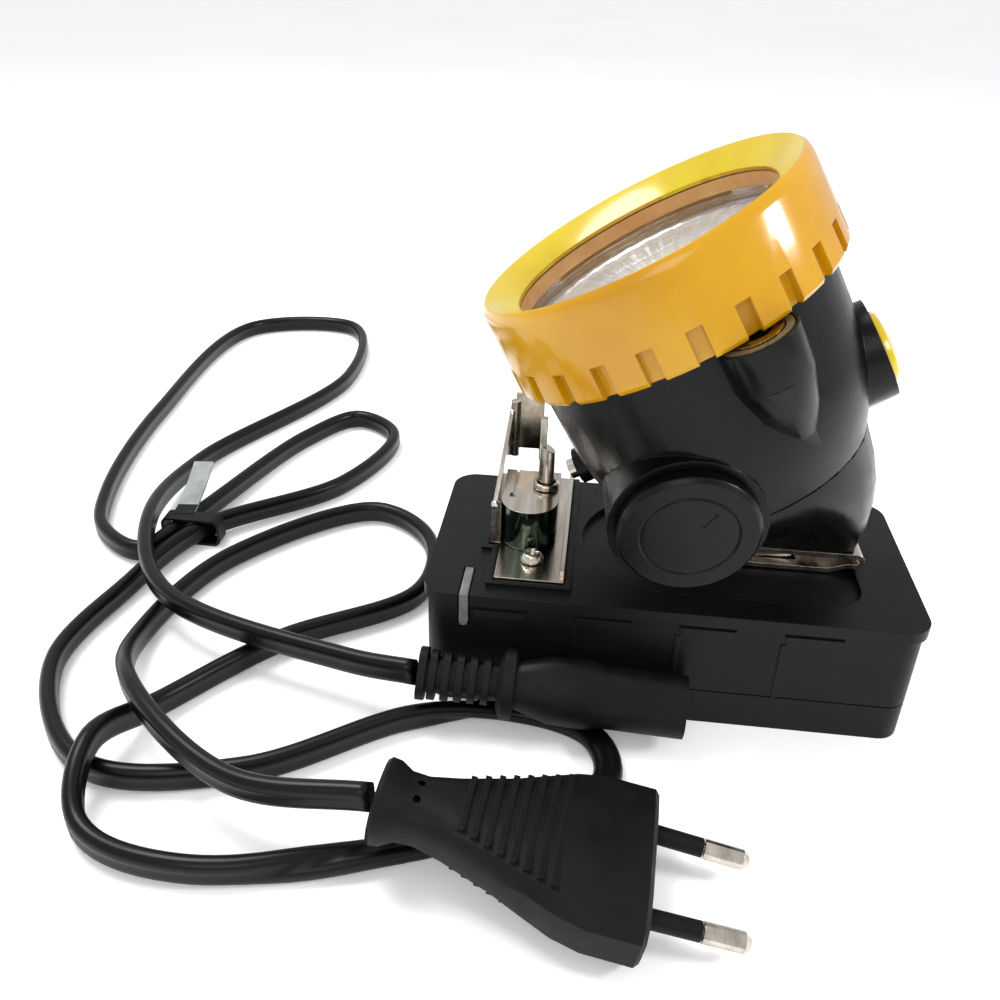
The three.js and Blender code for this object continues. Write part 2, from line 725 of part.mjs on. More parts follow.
// The cord's middle line, with its section held upright or on its side.
class CordLine extends THREE.CatmullRomCurve3 {
  computeFrenetFrames(segments) {
    const frames = { tangents: [], normals: [], binormals: [] };
    for (let i = 0; i <= segments; i += 1) {
      const u = i / segments;
      const lying = THREE.MathUtils.smoothstep(u, cord.flatFrom - cord.twist, cord.flatFrom)
        * (1 - THREE.MathUtils.smoothstep(u, cord.flatTo, cord.flatTo + cord.twist));
      const tangent = this.getTangentAt(u);
      const side = new THREE.Vector3().crossVectors(tangent, new THREE.Vector3(0, 0, 1)).normalize();
      const normal = new THREE.Vector3().crossVectors(side, tangent)
        .applyAxisAngle(tangent, (lying * Math.PI) / 2);
      frames.tangents.push(tangent);
      frames.normals.push(normal);
      frames.binormals.push(new THREE.Vector3().crossVectors(tangent, normal));
    }
    return frames;
  }
}

function cordTube() {
  const line = new CordLine(
    cordRoute.map((p) => new THREE.Vector3(...p)), false, 'centripetal');
  const section = new THREE.Shape(Array.from({ length: 8 }, (_, k) => {
    const angle = (2 * Math.PI * k) / 8;
    return new THREE.Vector2(
      (cord.wide / 2) * Math.cos(angle), (cord.thick / 2) * Math.sin(angle));
  }));
  return facingOut(new THREE.ExtrudeGeometry(section, {
    steps: cord.steps, extrudePath: line, bevelEnabled: false,
  }));
}

function cordTie() {
  const half = tie.inside / 2;
  const outer = half + tie.thick;
  const low = 0.15;
  const top = low + tie.height + 2 * tie.thick;
  const band = cut(
    alongY(roundedRect(-outer, outer, low, top, 2.2), -tie.width / 2, tie.width / 2, 3),
    alongY(roundedRect(-half, half, low + tie.thick, top - tie.thick, 1.4),
      -tie.width, tie.width, 3),
  );
  const tail = alongX(polygon([
    [1, top - 0.6], [6, top - 0.4], [16, top + 0.9], [26, top + 3.4], [26, top + 4.2],
    [16, top + 1.6], [6, top + 0.3], [1, top + 0.2],
  ]), -5.6, 0.4);
  tail.rotateZ(0.12);
  return moved(join(band, tail), tie.x, tie.y, 0);
}

// Places a geometry built with its front face at x = 0 and its tail towards -X.
function onLead(geometry, place, lean = place.roll) {
  geometry.rotateX(lean);
  geometry.rotateY(place.pitch);
  geometry.rotateZ(place.yaw);
  return moved(geometry, place.x, place.y, place.z);
}

function leadConnector() {
  const nose = alongX(figureEight(0, 0, connector.wide, connector.high), -20, 0, 6);
  const body = lofted([
    [-19, 7.1, 4.3], [-22, 7.8, 4.8], [-30, 7.6, 4.9], [-35.6, 6, 4.4], [-37.8, 5.4, 4],
    [-38.4, 8, 5], [-40.8, 8, 5], [-42, 5.6, 4.2],
  ].map(([x, wide, high]) => softRing(x, wide, high, 2.8)));
  const relief = [
    alongX(roundedRect(-4.1, 4.1, -3, 3, 2.2), -59.4, -41.6, 2),
    ...[0, 1, 2, 3, 4].map((i) => {
      const x = -45.4 - i * 3;
      const wide = 5.2 + i * 0.1;
      return alongX(roundedRect(-wide, wide, -4, 4, 2.6), x, x + 1.6, 2);
    }),
    alongX(roundedRect(-5.9, 5.9, -4.5, 4.5, 3), -59.9, -58.1, 2),
  ];
  const contacts = [-1, 1].map((side) => {
    const hole = rod(1.7, -9, 1, 0, 0, 12);
    hole.rotateY(Math.PI / 2);
    return moved(hole, 0, (side * contactPitch) / 2, 0);
  });
  return onLead(cut(join(nose, body, ...relief), ...contacts), connector, connector.lean);
}

function plugBody() {
  const half = plug.wide / 2;
  const thick = plug.thick / 2;
  const rings = [
    [0, half - 0.8, thick - 0.8, 5], [-0.9, half, thick, 5], [-10.5, half, thick, 5],
    [-16, 16.3, 6.5, 4.4], [-22, 13.8, 6.3, 4], [-28, 11.2, 6.1, 3.6], [-38, 7.8, 5.8, 3],
    [-44, 6.4, 5.6, 2.6], [-47.4, 6.8, 5.8, 2.4], [-50, 8.4, 6.9, 2.3], [-51.8, 8.6, 7.1, 2.3],
    [-52.6, 7.9, 6.4, 2.3],
  ].map(([x, w, h, n]) => softRing(x, w, h, n));
  const ribs = Array.from({ length: 8 }, (_, i) => {
    const x = -17.5 - i * 2.6;
    const w = 12.6 - i * 0.95;
    const rise = thick - 0.02 * i;
    return box(x - 0.6, x + 0.6, -w, w, -rise, rise);
  });
  const holes = [-1, 1].map((i) => rod(0.8, 4.2, 8, -45, i * 1.9, 8));
  const sockets = [-1, 1].map((i) => {
    const hole = rod(pin.sleeveRadius + gap, -6, 1, 0, 0, 14);
    hole.rotateY(Math.PI / 2);
    return moved(hole, 0, (i * pin.apart) / 2, 0);
  });
  return onLead(cut(join(lofted(rings), ...ribs), ...holes, ...sockets), plug);
}

// A round bar on the line of one plug pin, from x0 to x1 in front of the plug's face.
function onPin(side, geometry) {
  const slope = (pin.apart - pin.tipsApart) / 2 / pin.length;
  geometry.rotateY(Math.PI / 2);
  geometry.rotateZ(-side * Math.atan(slope));
  return onLead(moved(geometry, 0, (side * pin.apart) / 2, 0), plug);
}

function pinSleeve(side) {
  return onPin(side, cut(
    rod(pin.sleeveRadius, -5, pin.sleeve, 0, 0, 14), rod(1.3, -6, pin.sleeve + 1, 0, 0, 12)));
}

function pinMetal(side) {
  return onPin(side, turned([
    [0, -4], [1, -4], [1, pin.sleeve + gap], [pin.radius, pin.sleeve + gap],
    [pin.radius, pin.length - 1.2], [pin.radius - 0.9, pin.length], [0, pin.length],
  ], 16));
}

// ---------------------------------------------------------------- assembly

const lampHead = new THREE.Group();
lampHead.name = 'lamp_head';
lampHead.position.set(head.x, head.y, head.z);
lampHead.rotation.y = -head.tilt;
lampHead.add(
  mesh('bezel_ring', bezelRing(), 'yellowPlastic'),
  mesh('lens_gasket', turned([
    [29.1, -8.3], [29.1, -5.1], [33.3, -5.1], [33.3, -8.3], [29.1, -8.3],
  ], 40), 'tanGasket'),
  mesh('lens', turned([[0, -10.3], [33.3, -10.3], [33.3, -8.6], [0, -8.6]], 40), 'clearLens'),
  mesh('reflector', reflector(), 'mirror'),
  mesh('led_board', rod(10, -37.9, -36.3, 0, 0, 32), 'board'),
  mesh('led_chip', turned([
    [0, -36], [3.4, -36], [3.4, -35.2], [2.6, -33.8], [1.4, -33.1], [0, -32.9],
  ], 24), 'phosphor'),
  mesh('control_board', rod(22, -39.9, -38.3, 0, 0, 36), 'board'),
  mesh('battery_cell', sideways(rod(9, -21.5, 21.5, 0, 0, 28), -50.4), 'cellWrap'),
  mesh('button_switch', box(23, 26.3, -3, 3, button.z - 3, button.z + 3), 'blackCase'),
  mesh('lamp_shell', lampShell(), 'blackShell'),
  mesh('rear_cover', rearCover(), 'blackShell'),
  mesh('socket_bushing', moved(turned([
    [5.6, -8.4], [7.1, -8.4], [7.1, 0.1], [5.6, 0.1], [5.6, -8.4],
  ], 28), socket.x, socket.y, socket.z), 'greyPlastic'),
  mesh('socket_contact', moved(turned([
    [3.2, -8], [5.3, -8], [5.3, 0.4], [3.2, 0.4], [3.2, -8],
  ], 28), socket.x, socket.y, socket.z), 'brass'),
  mesh('charge_stud', sideways(rod(2.4, -37.6, -28, 0, 0, 20), -46), 'nickel'),
  mesh('power_button', powerButton(), 'yellowPlastic'),
  mesh('side_knob', sideKnob(), 'blackShell'),
);

const part = new THREE.Group();
part.name = 'miners_cap_lamp';
part.add(
  mesh('charger_base', chargerBase(), 'blackCase'),
  mesh('charger_lid', chargerLid(), 'blackCase'),
  mesh('charger_board', box(-49, 49, -15.8, 13.4, 11.9, 13.5), 'board'),
  mesh('charger_transformer', box(-22, 2, -9, 9, 13.8, 26.5), 'darkSteel'),
  mesh('charger_capacitor', rod(5.5, 13.8, 27, -2 + 12, -3, 24), 'cellWrap'),
  mesh('charge_led', box(pipe.x - 1.5, pipe.x + 1.5, -15.6, -12.6, 13.8, 17), 'phosphor'),
  mesh('light_pipe', lightPipe(), 'palePipe'),
  mesh('inlet_housing', inletHousing(), 'blackCase'),
  mesh('inlet_pin_left', inletPin(-1), 'brass'),
  mesh('inlet_pin_right', inletPin(1), 'brass'),
  ...screwPlaces.map(([x, y], i) => mesh(
    `base_screw_${i + 1}`, screw(x, y, 3.1, 14, 2.7, 1.3, -1), 'darkSteel')),
  mesh('charge_bracket', bracketPressing(), 'nickel'),
  mesh('contact_block', contactBlock(), 'nickel'),
  mesh('key_ring', keyRing(), 'nickel'),
  mesh('charging_key', chargingKey(), 'darkSteel'),
  mesh('bracket_screw_front', screw(
    ...bracketScrews[0], plateTop + gap, 27, 2.7, 1.3), 'nickel'),
  mesh('bracket_screw_rear', screw(...bracketScrews[1], plateTop + gap, 27, 2.7, 1.3), 'nickel'),
  lampHead,
  mesh('helmet_clip', helmetClip(), 'nickel'),
  mesh('clip_rivet_left', clipRivet(rivetPlaces[0]), 'nickel'),
  mesh('clip_rivet_right', clipRivet(rivetPlaces[1]), 'nickel'),
  mesh('lead_connector', leadConnector(), 'rubber'),
  mesh('lead_cord', cordTube(), 'cordSheath'),
  mesh('cord_tie', cordTie(), 'rubber'),
  mesh('plug_body', plugBody(), 'rubber'),
  mesh('pin_sleeve_far', pinSleeve(1), 'rubber'),
  mesh('pin_sleeve_near', pinSleeve(-1), 'rubber'),
  mesh('pin_far', pinMetal(1), 'nickel'),
  mesh('pin_near', pinMetal(-1), 'nickel'),
);

export default part;
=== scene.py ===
import json
import math

import bmesh
import bpy
from mathutils import Matrix, Vector


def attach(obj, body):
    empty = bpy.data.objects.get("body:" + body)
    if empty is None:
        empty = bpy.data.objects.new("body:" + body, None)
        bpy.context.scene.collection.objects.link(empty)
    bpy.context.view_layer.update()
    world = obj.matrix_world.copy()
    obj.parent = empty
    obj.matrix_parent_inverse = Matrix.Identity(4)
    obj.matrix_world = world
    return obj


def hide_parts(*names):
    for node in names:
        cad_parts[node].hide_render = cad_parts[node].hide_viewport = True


# A miner's cap lamp lying lens up on its desk charger, with the charger's loose mains lead.
# Sizes in the dictionaries are millimetres; mm turns them to the frame's metres.

mm = 0.001
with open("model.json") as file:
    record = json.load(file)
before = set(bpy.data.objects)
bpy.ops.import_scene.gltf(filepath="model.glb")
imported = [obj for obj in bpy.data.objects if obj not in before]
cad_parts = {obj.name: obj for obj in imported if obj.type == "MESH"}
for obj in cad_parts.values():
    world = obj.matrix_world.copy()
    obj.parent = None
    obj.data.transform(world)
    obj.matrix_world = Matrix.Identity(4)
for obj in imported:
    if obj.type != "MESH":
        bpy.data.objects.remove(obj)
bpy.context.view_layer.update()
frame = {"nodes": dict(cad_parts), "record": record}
print("frame loaded:", len(frame["nodes"]), "nodes")

# ---- camera

shot = {
    "lens": 34.56,
    "sensor": 36,
    "place": (-21.43, -200.05, 156.59),
    "turn": 0.09966,
    "down": 0.52667,
    "roll": 0.02828,
}


def placeCamera():
    data = bpy.data.cameras.new("benchCamera")
    data.lens = shot["lens"]
    data.sensor_width = shot["sensor"]
    data.clip_start = 0.01
    camera = bpy.data.objects.new("benchCamera", data)
    bpy.context.scene.collection.objects.link(camera)
    aim = (
        Matrix.Rotation(shot["turn"], 4, "Z")
        @ Matrix.Rotation(math.pi / 2 - shot["down"], 4, "X")
        @ Matrix.Rotation(shot["roll"], 4, "Z")
    )
    camera.matrix_world = Matrix.Translation(Vector(shot["place"]) * mm) @ aim
    bpy.context.scene.camera = camera


placeCamera()
bpy.context.view_layer.update()

# ---- materials


def linear(hexColour):
    def channel(pair):
        c = int(pair, 16) / 255
        return c / 12.92 if c <= 0.04045 else ((c + 0.055) / 1.055) ** 2.4

    return (*[channel(hexColour[i : i + 2]) for i in (1, 3, 5)], 1)


def addNode(tree, kind, inputs=None, **settings):
    node = tree.nodes.new(kind)
    for name, value in settings.items():
        setattr(node, name, value)
    for name, value in (inputs or {}).items():
        if isinstance(value, bpy.types.NodeSocket):
            tree.links.new(value, node.inputs[name])
        else:
            node.inputs[name].default_value = value
    return node


# where along the noise the two tones, and the two roughnesses, are reached
spread = {"tone": (0.34, 0.68), "wear": (0.3, 0.72), "bevelRays": 4}


def makeMaterial(name, recipe):
    material = bpy.data.materials.new(name)
    material.use_nodes = True
    tree = material.node_tree
    shader = tree.nodes["Principled BSDF"]
    coordinates = addNode(tree, "ShaderNodeTexCoord")
    spot = addNode(
        tree,
        "ShaderNodeMapping",
        {"Vector": coordinates.outputs[recipe.get("along", "Object")],
         "Scale": recipe.get("stretch", (1, 1, 1))},
    )
    # broad, uneven tone over the piece, from the flow of the melt, plating or handling
    tone = addNode(
        tree,
        "ShaderNodeTexNoise",
        {"Vector": spot.outputs[0], "Scale": 1 / (recipe["toneMm"] * mm), "Detail": 4.0,
         "Roughness": 0.6},
    )
    ramp = addNode(tree, "ShaderNodeValToRGB", {"Fac": tone.outputs[0]})
    ramp.color_ramp.elements[0].position = spread["tone"][0]
    ramp.color_ramp.elements[0].color = linear(recipe["dark"])
    ramp.color_ramp.elements[1].position = spread["tone"][1]
    ramp.color_ramp.elements[1].color = linear(recipe["light"])
    tree.links.new(ramp.outputs[0], shader.inputs["Base Color"])
    # patches that are a little duller, as from finger marks and dust
    wear = addNode(
        tree,
        "ShaderNodeTexNoise",
        {"Vector": spot.outputs[0], "Scale": 1 / (recipe["wearMm"] * mm), "Detail": 6.0,
         "Roughness": 0.65, "Distortion": 0.4},
    )
    gloss = addNode(
        tree,
        "ShaderNodeMapRange",
        {"Value": wear.outputs[0], "From Min": spread["wear"][0],
         "From Max": spread["wear"][1],
         "To Min": recipe["rough"][0], "To Max": recipe["rough"][1]},
    )
    tree.links.new(gloss.outputs[0], shader.inputs["Roughness"])
    # the grain that the tool, mould or plating leaves
    if recipe["grain"] == "spark":
        grain = addNode(
            tree,
            "ShaderNodeTexVoronoi",
            {"Vector": spot.outputs[0], "Scale": 1 / (recipe["grainMm"] * mm)},
            feature="SMOOTH_F1",
        )
    else:
        grain = addNode(
            tree,
            "ShaderNodeTexNoise",
            {"Vector": spot.outputs[0], "Scale": 1 / (recipe["grainMm"] * mm), "Detail": 2.0},
        )
    eased = addNode(
        tree, "ShaderNodeBevel", {"Radius": recipe["edgeMm"] * mm}, samples=spread["bevelRays"]
    )
    bump = addNode(
        tree,
        "ShaderNodeBump",
        {"Height": grain.outputs[0], "Strength": recipe.get("strength", 0.6),
         "Distance": recipe["deepMm"] * mm, "Normal": eased.outputs[0]},
    )
    tree.links.new(bump.outputs[0], shader.inputs["Normal"])
    for socket, value in recipe.get("fixed", {}).items():
        shader.inputs[socket].default_value = value
    if "clear" in recipe:
        # a thin clear sheet: mostly see-through head on, glossy at a glance
        glance = addNode(tree, "ShaderNodeFresnel", {"IOR": recipe["clear"]["ior"]})
        cover = addNode(
            tree,
            "ShaderNodeMapRange",
            {"Value": glance.outputs[0], "To Min": recipe["clear"]["faceOn"],
             "To Max": recipe["clear"]["glancing"]},
        )
        tree.links.new(cover.outputs[0], shader.inputs["Alpha"])
    return material


recipes = {
    # black ABS from a spark-eroded mould: charcoal with a fine even pebble and soft broad highlights
    "sparkTexturedAbs": {
        "dark": "#08090a", "light": "#0f1112", "toneMm": 22, "wearMm": 9, "rough": (0.36, 0.48),
        "grain": "spark", "grainMm": 0.55, "deepMm": 0.05, "edgeMm": 0.35,
        "fixed": {"IOR": 1.53, "Specular IOR Level": 0.16},
    },
    # black polycarbonate from a smooth mould: deeper black with a satin gloss
    "satinPolycarbonate": {
        "dark": "#050606", "light": "#0b0c0c", "toneMm": 18, "wearMm": 7, "rough": (0.22, 0.36),
        "grain": "noise", "grainMm": 0.7, "deepMm": 0.02, "edgeMm": 0.35,
        "fixed": {"IOR": 1.58, "Specular IOR Level": 0.15},
    },
    # deep yellow ABS, polished mould: saturated and glossy
    "polishedYellowAbs": {
        "dark": "#c08600", "light": "#cd9a00", "toneMm": 26, "wearMm": 11, "rough": (0.12, 0.22),
        "grain": "noise", "grainMm": 1.6, "deepMm": 0.03, "edgeMm": 0.5, "strength": 0.35,
        "fixed": {"IOR": 1.53, "Specular IOR Level": 0.4, "Coat Weight": 0.2,
                  "Coat Roughness": 0.05},
    },
    # the same yellow ABS with painted light, for the funnel and the button, which face the light and
    # look greener than the skirt; the lighter lemon tone is painted in, the plastic is one plastic
    "paintedLightYellowAbs": {
        "dark": "#c3a600", "light": "#d0b804", "toneMm": 20, "wearMm": 11, "rough": (0.14, 0.24),
        "grain": "noise", "grainMm": 1.6, "deepMm": 0.03, "edgeMm": 0.4, "strength": 0.3,
        "fixed": {"IOR": 1.53, "Specular IOR Level": 0.4, "Coat Weight": 0.2,
                  "Coat Roughness": 0.05},
    },
    # clear polycarbonate sheet: see-through, with a gloss at low angles
    "clearPolycarbonate": {
        "dark": "#f4f6f6", "light": "#ffffff", "toneMm": 20, "wearMm": 8, "rough": (0.0, 0.02),
        "grain": "noise", "grainMm": 6.0, "deepMm": 0.001, "edgeMm": 0.1, "strength": 0.1,
        "fixed": {"IOR": 1.58, "Transmission Weight": 1.0},
        "clear": {"ior": 1.58, "faceOn": 0.03, "glancing": 0.5},
    },
    # tan silicone sealing ring: dull, slightly waxy
    "tanSilicone": {
        "dark": "#c48e55", "light": "#d3a26a", "toneMm": 9, "wearMm": 5, "rough": (0.42, 0.58),
        "grain": "noise", "grainMm": 0.5, "deepMm": 0.02, "edgeMm": 0.3,
        "fixed": {"IOR": 1.41, "Subsurface Weight": 0.12, "Subsurface Scale": 0.002},
    },
    # vacuum-metallised reflector: bright aluminium, faintly uneven; the small glow makes up for
    # light that the bowl gathers and a short render loses
    "metallisedAluminium": {
        "dark": "#e6e8ea", "light": "#fafbfc", "toneMm": 7, "wearMm": 4, "rough": (0.12, 0.2),
        "grain": "noise", "grainMm": 2.4, "deepMm": 0.004, "edgeMm": 0.1, "strength": 0.2,
        "fixed": {"Metallic": 1.0, "Emission Color": (1, 1, 1, 1), "Emission Strength": 0.18},
    },
    # nickel-plated pressed steel: warm silver with faint rolling lines and tarnish
    "nickelPlatedSteel": {
        "dark": "#a99f92", "light": "#d9d3c9", "toneMm": 5, "wearMm": 2.5, "rough": (0.14, 0.3),
        "grain": "noise", "grainMm": 0.5, "deepMm": 0.012, "edgeMm": 0.2, "stretch": (1, 0.12, 1),
        "fixed": {"Metallic": 1.0},
    },
    # chromed steel, painted as a dark mirror: its dark olive base colour is a painted reflection of
    # dark green surroundings
    "paintedReflectionChrome": {
        "dark": "#3d4b40", "light": "#6f7d70", "toneMm": 4, "wearMm": 3, "rough": (0.05, 0.14),
        "grain": "noise", "grainMm": 0.8, "deepMm": 0.006, "edgeMm": 0.25,
        "fixed": {"Metallic": 1.0},
    },
    # blackened steel: dark grey, oily sheen
    "blackenedSteel": {
        "dark": "#3a3a3b", "light": "#5c5b59", "toneMm": 3, "wearMm": 2, "rough": (0.28, 0.42),
        "grain": "noise", "grainMm": 0.35, "deepMm": 0.015, "edgeMm": 0.2,
        "fixed": {"Metallic": 1.0},
    },
    # turned brass: golden with darker tarnish in patches
    "turnedBrass": {
        "dark": "#7d6228", "light": "#c9a554", "toneMm": 1.8, "wearMm": 1.2, "rough": (0.2, 0.42),
        "grain": "noise", "grainMm": 0.3, "deepMm": 0.015, "edgeMm": 0.15,
        "fixed": {"Metallic": 1.0},
    },
    # grey-brown nylon bushing: dull, a little mottled
    "mouldedNylon": {
        "dark": "#55493a", "light": "#77684f", "toneMm": 2.5, "wearMm": 2, "rough": (0.4, 0.55),
        "grain": "noise", "grainMm": 0.4, "deepMm": 0.02, "edgeMm": 0.2,
        "fixed": {"IOR": 1.53},
    },
    # frosted acrylic light pipe: milky grey, lit from within by the room
    "frostedAcrylic": {
        "dark": "#5f6361", "light": "#7c807d", "toneMm": 3, "wearMm": 2, "rough": (0.35, 0.5),
        "grain": "noise", "grainMm": 0.3, "deepMm": 0.01, "edgeMm": 0.2,
        "fixed": {"IOR": 1.49, "Subsurface Weight": 0.3, "Subsurface Scale": 0.002},
    },
    # soft PVC over-moulding: near black and matt, with a faint bloom
    "overmouldedPvc": {
        "dark": "#050606", "light": "#0c0d0e", "toneMm": 12, "wearMm": 5, "rough": (0.4, 0.55),
        "grain": "noise", "grainMm": 0.35, "deepMm": 0.03, "edgeMm": 0.3,
        "fixed": {"IOR": 1.54, "Specular IOR Level": 0.16},
    },
    # extruded PVC sheath: black with a satin sheen and faint lines along its length
    "extrudedPvc": {
        "dark": "#040505", "light": "#0a0b0b", "toneMm": 14, "wearMm": 6, "rough": (0.26, 0.4),
        "grain": "noise", "grainMm": 0.6, "deepMm": 0.02, "edgeMm": 0.05,
        "along": "UV", "stretch": (0.08, 1, 1),
        "fixed": {"IOR": 1.54, "Specular IOR Level": 0.2},
    },
    # pale nylon tail of the cable tie: off-white grey
    "paleNylon": {
        "dark": "#7d8282", "light": "#9aa09f", "toneMm": 5, "wearMm": 3, "rough": (0.35, 0.5),
        "grain": "noise", "grainMm": 0.4, "deepMm": 0.02, "edgeMm": 0.1,
        "fixed": {"IOR": 1.53},
    },
    # green solder mask over glass-fibre board: the weave shows faintly under the lacquer
    "solderMaskedBoard": {
        "dark": "#123d20", "light": "#1c5a30", "toneMm": 4, "wearMm": 3, "rough": (0.25, 0.4),
        "grain": "spark", "grainMm": 0.6, "deepMm": 0.02, "edgeMm": 0.1,
        "fixed": {"IOR": 1.55},
    },
    # shrink-wrapped PVC sleeve: mid blue, wrinkled and glossy
    "shrinkSleeve": {
        "dark": "#1f4f8c", "light": "#2b66ad", "toneMm": 9, "wearMm": 5, "rough": (0.2, 0.34),
        "grain": "noise", "grainMm": 2.2, "deepMm": 0.06, "edgeMm": 0.2,
        "fixed": {"IOR": 1.54},
    },
    # phosphor in silicone over the LED die: egg yellow, satin
    "phosphorSilicone": {
        "dark": "#d9c23c", "light": "#efdd6a", "toneMm": 1.5, "wearMm": 1, "rough": (0.3, 0.45),
        "grain": "noise", "grainMm": 0.25, "deepMm": 0.01, "edgeMm": 0.1,
        "fixed": {"IOR": 1.41, "Subsurface Weight": 0.2, "Subsurface Scale": 0.001},
    },
    # smooth pale card under the object
    "paleCard": {
        "dark": "#fafafa", "light": "#ffffff", "toneMm": 300, "wearMm": 150, "rough": (0.8, 0.9),
        "grain": "noise", "grainMm": 1.2, "deepMm": 0.01, "edgeMm": 0.1, "strength": 0.1,
        "fixed": {"IOR": 1.45, "Specular IOR Level": 0.1,
                  "Emission Color": (1, 1, 1, 1), "Emission Strength": 0.18},
    },
}
materials = {name: makeMaterial(name, recipe) for name, recipe in recipes.items()}
print("materials made:", len(materials))

# ---- the mains cord

cordFacts = {
    "length": 1462.5,
    "wide": 6.4,
    "thick": 3.9,
    "waist": 1.62,  # half thickness at the groove between the cores
    "ring": 2.2,  # from one ring of the tube to the next
    "curveSteps": 40,
    "coreTurn": 100,  # degrees of each core that show, either way from its outer side
    "coreStep": 25,
    "flatFrom": 0.66,
    "flatTo": 0.715,
    "twist": 0.02,
    # the middle of the cord, from the connector's strain relief to the plug's flange
    "route": [
        (-56, -35.2, 13.6), (-73.6, -30.8, 11.8), (-125, -11, 10.6), (-145, 23, 10.3),
        (-149, 72, 4), (-119, 148, 3.6), (-132, 206, 3.5), (-174, 198, 3.5), (-179, 106, 3.5),
        (-170, 46, 3.5), (-161, 26, 3.5), (-146, 17.5, 3.5), (-138.8, 31, 4.4), (-120, 94, 3.5),
        (-106, 113, 3.5), (-90, 101, 3.5), (-99, 64, 3.5), (-132.8, 29, 4.4), (-142, 0, 3.5),
        (-145, -33, 3.5), (-122, -63, 3.5), (-88.4, -59.5, 3.5), (-56.3, -38.9, 3.5),
        (-33, -31.9, 2.1), (-15, -38, 2), (-12, -51, 2), (-32, -65.5, 2.1), (-91, -85.5, 3.8),
        (-115, -79, 4.6), (-120, -62.5, 10.2), (-114, -43, 4.1), (-94, -17, 3.9), (-64, 8, 3.5),
        (-66, 36, 3.5), (-85, 49, 3.5), (-120, 17, 3.6), (-129, -20, 4.2), (-117, -48, 13.4),
        (-86, -71.5, 13.2), (-56.8, -74.1, 15.6),
    ],
}


def smoothLine(points, steps):
    # centripetal curve through the points
    points = [Vector(p) * mm for p in points]
    ends = [2 * points[0] - points[1], *points, 2 * points[-1] - points[-2]]
    line = []
    for a, b, c, d in zip(ends, ends[1:], ends[2:], ends[3:]):
        ab, bc, cd = [math.sqrt((q - p).length) for p, q in ((a, b), (b, c), (c, d))]
        leave = ((b - a) / ab - (c - a) / (ab + bc) + (c - b) / bc) * bc
        arrive = ((c - b) / bc - (d - b) / (bc + cd) + (d - c) / cd) * bc
        for i in range(steps):
            t = i / steps
            line.append(
                b + leave * t + (3 * (c - b) - 2 * leave - arrive) * t**2
                + (2 * (b - c) + leave + arrive) * t**3
            )
    return [*line, points[-1]]


def evenLine(line, step):
    walked = [0]
    for p, q in zip(line, line[1:]):
        walked.append(walked[-1] + (q - p).length)
    count = round(walked[-1] / step)
    even, k = [], 0
    for i in range(count + 1):
        goal = walked[-1] * i / count
        while k < len(line) - 2 and walked[k + 1] < goal:
            k += 1
        share = (goal - walked[k]) / (walked[k + 1] - walked[k])
        even.append(line[k].lerp(line[k + 1], min(1, share)))
    return even


def smoothStep(x, low, high):
    t = min(1, max(0, (x - low) / (high - low)))
    return t * t * (3 - 2 * t)


def twinSection(facts):
    # two round cores side by side under one skin, with a shallow groove between them
    core = facts["thick"] / 2
    middle = facts["wide"] / 2 - core
    section = []
    for side in (1, -1):
        for turn in range(-facts["coreTurn"], facts["coreTurn"] + 1, facts["coreStep"]):
            a = math.radians(turn)
            section.append((side * (middle + core * math.cos(a)), side * core * math.sin(a)))
        section.append((0, side * facts["waist"]))
    return section


def newPiece(name, mesh, material, *more):
    for each in (material, *more):
        mesh.materials.append(materials[each])
    piece = bpy.data.objects.new(name, mesh)
    bpy.context.scene.collection.objects.link(piece)
    return piece


def layCord():
    facts = cordFacts
    line = evenLine(smoothLine(facts["route"], facts["curveSteps"]), facts["ring"] * mm)
    bm = bmesh.new()
    lengthwise = bm.loops.layers.uv.new("lengthwise")
    section = twinSection(facts)
    rings = []
    for i, place in enumerate(line):
        before, after = line[max(i - 1, 0)], line[min(i + 1, len(line) - 1)]
        tangent = (after - before).normalized()
        u = i / (len(line) - 1)
        lying = smoothStep(u, facts["flatFrom"] - facts["twist"], facts["flatFrom"]) * (
            1 - smoothStep(u, facts["flatTo"], facts["flatTo"] + facts["twist"])
        )
        side = tangent.cross(Vector((0, 0, 1))).normalized()
        up = Matrix.Rotation(lying * math.pi / 2, 3, tangent) @ side.cross(tangent)
        across = tangent.cross(up)
        rings.append([bm.verts.new(place + (up * x + across * y) * mm) for x, y in section])
    count = len(section)
    for i, (near, far) in enumerate(zip(rings, rings[1:])):
        for k in range(count):
            nextK = (k + 1) % count
            face = bm.faces.new((near[k], near[nextK], far[nextK], far[k]))
            face.smooth = True
            corners = ((i, k), (i, k + 1), (i + 1, k + 1), (i + 1, k))
            for loop, (ring, stage) in zip(face.loops, corners):
                loop[lengthwise].uv = (ring * facts["ring"] * mm, stage * mm)
    bm.faces.new(list(reversed(rings[0])))
    bm.faces.new(rings[-1])
    bmesh.ops.recalc_face_normals(bm, faces=bm.faces)
    mesh = bpy.data.meshes.new("mainsCord")
    bm.to_mesh(mesh)
    bm.free()
    return newPiece("mainsCord", mesh, "extrudedPvc"), line


mainsCord, cordLine = layCord()
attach(mainsCord, "charger")
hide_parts("lead_cord")
print("cord laid")

# ---- pieces that keep the frame's shape, with their edges eased and their curves smoothed

